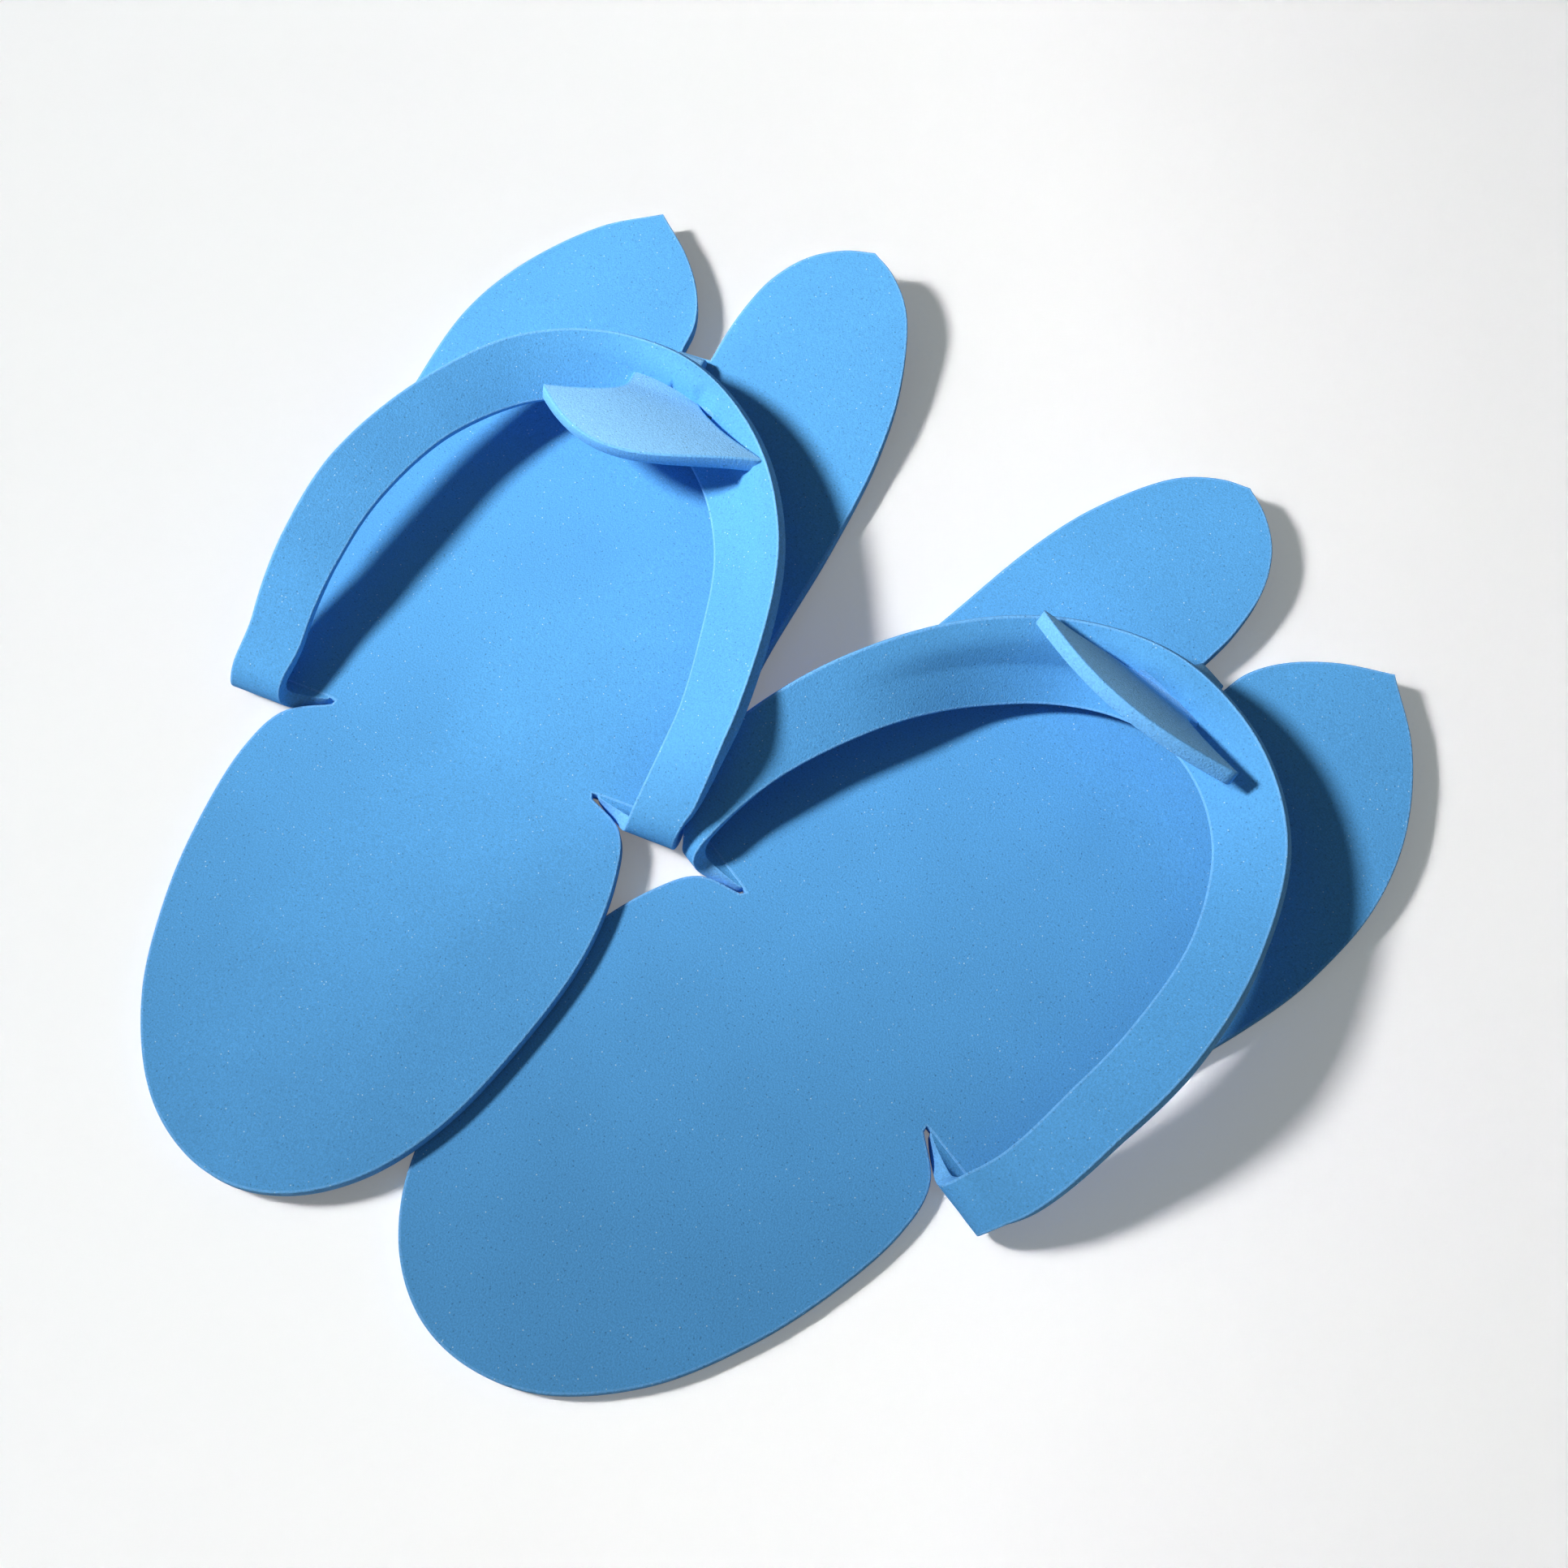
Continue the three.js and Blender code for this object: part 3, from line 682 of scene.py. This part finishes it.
def cut_sheet(name, shoe, loops, place, step, face_foam, fine_at=nowhere):
    """A closed piece of sheet with rounded cut edges. loops holds its outline, then its holes."""
    loops = [without_repeats(anticlockwise(loop)) for loop in loops]
    inward = [loop_normals(loop) * (1 if k == 0 else -1) for k, loop in enumerate(loops)]
    profile = edge_profile()
    first = [loop + normal * profile[0][0] for loop, normal in zip(loops, inward)]
    points, faces, index = triangulate(first, grid_points(loops, step, fine_at))
    top = place(points, np.full(len(points), THICKNESS / 2))
    bottom = place(points, np.full(len(points), -THICKNESS / 2))
    vertices = [top, bottom]
    count = 2 * len(points)
    polygons = [tuple(face) for face in faces]
    polygons += [tuple(face[::-1] + len(points)) for face in faces]
    edge_from = len(polygons)
    start = 0
    for k, (loop, normal) in enumerate(zip(loops, inward)):
        size = len(loop)
        rows = [[index[start + i] for i in range(size)]]
        for inset, height in profile[1:-1]:
            vertices.append(place(loop + normal * inset, np.full(size, height)))
            rows.append(list(range(count, count + size)))
            count += size
        rows.append([index[start + i] + len(points) for i in range(size)])
        for upper, lower in zip(rows, rows[1:]):
            for i in range(size):
                j = (i + 1) % size
                quad = (upper[j], upper[i], lower[i], lower[j])
                polygons.append(quad if k == 0 else quad[::-1])
        start += size
    return sheet_object(name, shoe, np.vstack(vertices), polygons, edge_from, face_foam)


def sheet_object(name, shoe, vertices, polygons, edge_from, face_foam):
    if shoe is LEFT:
        polygons = [face[::-1] for face in polygons]
    mesh = bpy.data.meshes.new(name)
    corners = [tuple(v) for v in to_row(shoe, vertices)]
    mesh.from_pydata(corners, [], [tuple(int(i) for i in face) for face in polygons])
    mesh.materials.append(face_foam)
    mesh.materials.append(EDGE_FOAM)
    kinds = np.zeros(len(mesh.polygons), np.int32)
    kinds[edge_from:] = 1
    mesh.polygons.foreach_set("material_index", kinds)
    mesh.polygons.foreach_set("use_smooth", np.ones(len(mesh.polygons), bool))
    mesh.update()
    piece = bpy.data.objects.new(name, mesh)
    bpy.context.collection.objects.link(piece)
    return piece


# ---- materials ----

def new_material(name):
    material = bpy.data.materials.new(name)
    material.use_nodes = True
    tree = material.node_tree
    shader = next(node for node in tree.nodes if node.type == "BSDF_PRINCIPLED")
    return material, tree, shader


def add(tree, kind, inputs=None, **settings):
    node = tree.nodes.new(kind)
    for key, value in settings.items():
        setattr(node, key, value)
    for key, value in (inputs or {}).items():
        if hasattr(value, "is_output"):
            tree.links.new(value, node.inputs[key])
        else:
            node.inputs[key].default_value = value
    return node


def per_mm(size):
    """Texture scale for detail of a size in millimetres."""
    return 1 / (size * MM)


def spread(tree, value, from_range, to_range):
    """A value mapped from one range to another and held inside it."""
    limits = {"From Min": from_range[0], "From Max": from_range[1], "To Min": to_range[0], "To Max": to_range[1]}
    return add(tree, "ShaderNodeMapRange", {"Value": value, **limits}).outputs[0]


def product(tree, a, b):
    return add(tree, "ShaderNodeMath", {0: a, 1: b}, operation="MULTIPLY").outputs[0]


def foam(name, base, grain_depth, grain_size):
    """Closed-cell foam: fine grain, pores darkened with painted shade in their pits, and a few cells lightened
    with painted glints, over a slightly uneven colour.
    """
    material, tree, shader = new_material(name)
    where = add(tree, "ShaderNodeTexCoord").outputs["Object"]
    drift = add(tree, "ShaderNodeTexNoise", {"Vector": where, "Scale": per_mm(DRIFT_SIZE), "Detail": 3.0})
    grain = add(tree, "ShaderNodeTexNoise", {"Vector": where, "Scale": per_mm(grain_size), "Detail": 3.0,
                                             "Roughness": 0.65})
    pores = add(tree, "ShaderNodeTexVoronoi", {"Vector": where, "Scale": per_mm(PORE_SPACING)})
    cells = add(tree, "ShaderNodeTexVoronoi", {"Vector": where, "Scale": per_mm(GLINT_CELL_SPACING)})
    drift_share = spread(tree, drift.outputs["Fac"], (0.3, 0.7), (0.965, 1.035))
    grain_share = spread(tree, grain.outputs["Fac"], (0.3, 0.7), (0.80, 1.17))
    # Pores darken the colour just where the bump below pits the face: painted shade in the pits.
    pit_depth_and_painted_shade = spread(tree, pores.outputs["Distance"], (0.05, 0.17), (0.6, 1.0))
    shade = product(tree, product(tree, drift_share, grain_share), pit_depth_and_painted_shade)
    tinted = add(tree, "ShaderNodeVectorMath", {0: base, "Scale": shade}, operation="SCALE")
    # A few cells picked at random are lightened towards a pale colour: painted glints.
    near = spread(tree, cells.outputs["Distance"], (0.12, 0.22), (1.0, 0.0))
    chosen = add(tree, "ShaderNodeSeparateColor", {"Color": cells.outputs["Color"]})
    painted_glint_mask = spread(tree, chosen.outputs[0], (0.925, 0.93), (0.0, 0.7))
    colour = add(tree, "ShaderNodeMix", {"Factor": product(tree, near, painted_glint_mask), "A": tinted.outputs[0],
                                         "B": PAINTED_GLINT_COLOUR}, data_type="VECTOR")
    bump = add(tree, "ShaderNodeBump", {"Height": grain.outputs["Fac"], "Strength": 1.0,
                                        "Distance": grain_depth * MM})
    pitted = add(tree, "ShaderNodeBump", {"Height": pit_depth_and_painted_shade, "Strength": 0.6,
                                          "Distance": PORE_DEPTH * MM, "Normal": bump.outputs[0]})
    tree.links.new(colour.outputs[1], shader.inputs["Base Color"])
    tree.links.new(pitted.outputs[0], shader.inputs["Normal"])
    shader.inputs["Roughness"].default_value = 0.82
    shader.inputs["Specular IOR Level"].default_value = 0.3
    return material


FACE_GRAIN_SIZE = 0.42
EDGE_GRAIN_SIZE = 0.55
DRIFT_SIZE = 28.0
PORE_SPACING = 1.5
PORE_DEPTH = 0.12
GLINT_CELL_SPACING = 0.9
# Pale colour of the painted glints on a few foam cells.
PAINTED_GLINT_COLOUR = (0.55, 0.8, 0.95)
FACE_FOAM = foam("foam_face", (0.092, 0.358, 0.73), 0.16, FACE_GRAIN_SIZE)
EDGE_FOAM = foam("foam_cut_edge", (0.15, 0.44, 0.84), 0.24, EDGE_GRAIN_SIZE)
# The tongue-and-tail sheet's faces get a paler, greyer copy of the face foam: painted sheen and stronger light
# on the tail.
TAIL_FOAM_PAINTED_SHEEN = foam("foam_tail_painted_sheen", (0.205, 0.47, 0.79), 0.2, FACE_GRAIN_SIZE)


# ---- pieces ----

def in_a_roll(along, across):
    return along < ROLL_END or along > STRAP_LENGTH - ROLL_END


def build_shoe(shoe):
    """Sole and strap ride their own bodies; tongue and tail are one sheet, built with a bend at the hinge and
    left on no body.
    """
    name = shoe["name"]
    sole = cut_sheet(name + "_sole_foam", shoe, [shoe["outline"]], place_sole(shoe), GRID_STEP, FACE_FOAM)
    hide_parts(name + "_sole")
    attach(sole, name + "_shoe")
    strap = cut_sheet(name + "_strap_foam", shoe, [strap_outline(shoe), slit_hole(shoe)],
                      place_strap(shoe), STRAP_STEP, FACE_FOAM, in_a_roll)
    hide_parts(name + "_strap")
    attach(strap, name + "_strap_body")
    # The tongue and tail faces take the paler foam with painted sheen.
    tongue = cut_sheet(name + "_tongue_and_tail_foam", shoe, [tongue_outline(shoe)],
                       place_tongue(shoe), FINE_STEP, TAIL_FOAM_PAINTED_SHEEN)
    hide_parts(name + "_toe_tongue", name + "_lock_tail")
    path = neck_path(shoe)
    hinge = np.searchsorted(path["distance"], path["neck"]["hinge"])
    centre = path["centre"][hinge]
    reach = HINGE_BLEND_HALF * path["along"][hinge]
    ends = to_row(shoe, np.array([centre - reach, centre + reach]))
    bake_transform(tongue)


for shoe in (RIGHT, LEFT):
    build_shoe(shoe)


# ---- stage, light and camera ----

LIGHT_AWAY = 1.0
TO_LIGHT = Vector((-0.596, -0.350, 0.722)).normalized()
LIGHT_AT = TO_LIGHT * LIGHT_AWAY
LAMP_SIZE = 0.17
KEY_POWER = 7.0
FLOOR_LIGHT_POWER = 5.3
TOE_LIGHT_POWER = 44.0
TOE_LIGHT_AIM = Vector((-0.02, 0.165, 0))
TOE_LIGHT_ANGLE = math.radians(30)
FLOOR_COLOUR = 0.80
FLOOR_LIGHTEST = 0.97
FLOOR_GLOW = 0.17
BACKDROP_GLOW = 0.91
FLOOR_FADE = (1.15, 2.0)    # distances from the lamp over which the floor turns into the backdrop
FLOOR_RADIUS = 4
BACKDROP_RADIUS = 6
FLOOR_BELOW = 0.0002
FILL_COLOUR = (0.85, 1, 0.99, 1)
FILL_STRENGTH = 0.14
CAMERA_LENS = 45.2
CAMERA_AIM = Vector((0.0088, 0.0110, 0))
CAMERA_AWAY = 0.485
CAMERA_ELEVATION = math.radians(68.8)
CAMERA_HEADING = (-0.6114, 0.7913)


def seen_glow(tree, strength):
    """A glow that only the view sees, so it lights nothing."""
    path = add(tree, "ShaderNodeLightPath")
    seen = product(tree, path.outputs["Is Camera Ray"], strength)
    return add(tree, "ShaderNodeEmission", {"Strength": seen}).outputs[0]


def bare_material(name):
    """A material with no shader yet, and the node that its shader goes to."""
    material, tree, shader = new_material(name)
    tree.nodes.remove(shader)
    output = next(node for node in tree.nodes if node.type == "OUTPUT_MATERIAL")
    return material, tree, output


def floor_material():
    """Pale floor, evenly lit under a lamp that stands near, that fades into the backdrop far away."""
    material, tree, output = bare_material("pale_floor")
    where = add(tree, "ShaderNodeTexCoord").outputs["Object"]
    away = add(tree, "ShaderNodeVectorMath", {0: where, 1: LIGHT_AT}, operation="DISTANCE").outputs["Value"]
    cube = add(tree, "ShaderNodeMath", {0: product(tree, away, 1 / LIGHT_AWAY), 1: 3.0}, operation="POWER")
    share = product(tree, cube.outputs[0], FLOOR_COLOUR)
    colour = add(tree, "ShaderNodeMath", {0: share, 1: FLOOR_LIGHTEST}, operation="MINIMUM")
    paint = add(tree, "ShaderNodeBsdfDiffuse", {"Color": colour.outputs[0]})
    near = add(tree, "ShaderNodeAddShader", {0: paint.outputs[0], 1: seen_glow(tree, FLOOR_GLOW)})
    mixed = add(tree, "ShaderNodeMixShader", {0: spread(tree, away, FLOOR_FADE, (0.0, 1.0)),
                                              1: near.outputs[0], 2: seen_glow(tree, BACKDROP_GLOW)})
    tree.links.new(mixed.outputs[0], output.inputs["Surface"])
    return material


def add_floor():
    bpy.ops.mesh.primitive_circle_add(vertices=96, radius=FLOOR_RADIUS, fill_type="NGON",
                                      location=(0, 0, -FLOOR_BELOW))
    floor = bpy.context.object
    floor.name = "floor"
    floor.data.materials.append(floor_material())


def add_backdrop():
    """Pale surround for low views; it lights nothing."""
    bpy.ops.mesh.primitive_uv_sphere_add(segments=48, ring_count=24, radius=BACKDROP_RADIUS)
    dome = bpy.context.object
    dome.name = "backdrop"
    material, tree, output = bare_material("pale_backdrop")
    glow = add(tree, "ShaderNodeEmission", {"Color": (1, 1, 1, 1), "Strength": BACKDROP_GLOW})
    tree.links.new(glow.outputs[0], output.inputs["Surface"])
    dome.data.materials.append(material)
    for ray in ("diffuse", "glossy", "transmission", "volume_scatter", "shadow"):
        setattr(dome, "visible_" + ray, False)


def hold(name, data, place, towards):
    """A lamp or camera at a place, turned so that it looks along a direction."""
    holder = bpy.data.objects.new(name, data)
    holder.location = place
    holder.rotation_euler = towards.to_track_quat("-Z", "Y").to_euler()
    bpy.context.collection.objects.link(holder)
    return holder


def add_disk_lamp(name, power):
    lamp = bpy.data.lights.new(name, "AREA")
    lamp.shape = "DISK"
    lamp.size = LAMP_SIZE
    lamp.energy = power
    return hold(name, lamp, LIGHT_AT, -TO_LIGHT)


def light_only(holder, pieces):
    lit = bpy.data.collections.new("lit_by_" + holder.name)
    for piece in pieces:
        lit.objects.link(piece)
    holder.light_linking.receiver_collection = lit


def add_floor_light():
    """A second lamp in the key's place that lights the floor only, so its shadows stay dark."""
    light_only(add_disk_lamp("floor_light", FLOOR_LIGHT_POWER), [bpy.data.objects["floor"]])


def add_toe_light():
    """A soft-edged spot in the key's place that lights the shoes only: toes come out brighter than heels."""
    lamp = bpy.data.lights.new("toe_light", "SPOT")
    lamp.energy = TOE_LIGHT_POWER
    lamp.shadow_soft_size = LAMP_SIZE / 2
    lamp.spot_size = TOE_LIGHT_ANGLE
    lamp.spot_blend = 1.0
    holder = hold("toe_light", lamp, LIGHT_AT, TOE_LIGHT_AIM - LIGHT_AT)
    light_only(holder, [piece for piece in bpy.data.objects if piece.name.endswith("_foam")])


def add_fill():
    world = bpy.data.worlds.new("fill")
    world.use_nodes = True
    background = next(node for node in world.node_tree.nodes if node.type == "BACKGROUND")
    background.inputs["Color"].default_value = FILL_COLOUR
    background.inputs["Strength"].default_value = FILL_STRENGTH
    bpy.context.scene.world = world


def add_camera():
    camera = bpy.data.cameras.new("camera")
    camera.lens = CAMERA_LENS
    camera.sensor_width = 36
    camera.clip_start = 0.01
    level = math.cos(CAMERA_ELEVATION)
    look = Vector((CAMERA_HEADING[0] * level, CAMERA_HEADING[1] * level, -math.sin(CAMERA_ELEVATION)))
    bpy.context.scene.camera = hold("camera", camera, CAMERA_AIM - look * CAMERA_AWAY, look)


bpy.context.scene.view_settings.view_transform = "Standard"
add_floor()
add_backdrop()
add_disk_lamp("key", KEY_POWER)
add_floor_light()
add_toe_light()
add_fill()
add_camera()
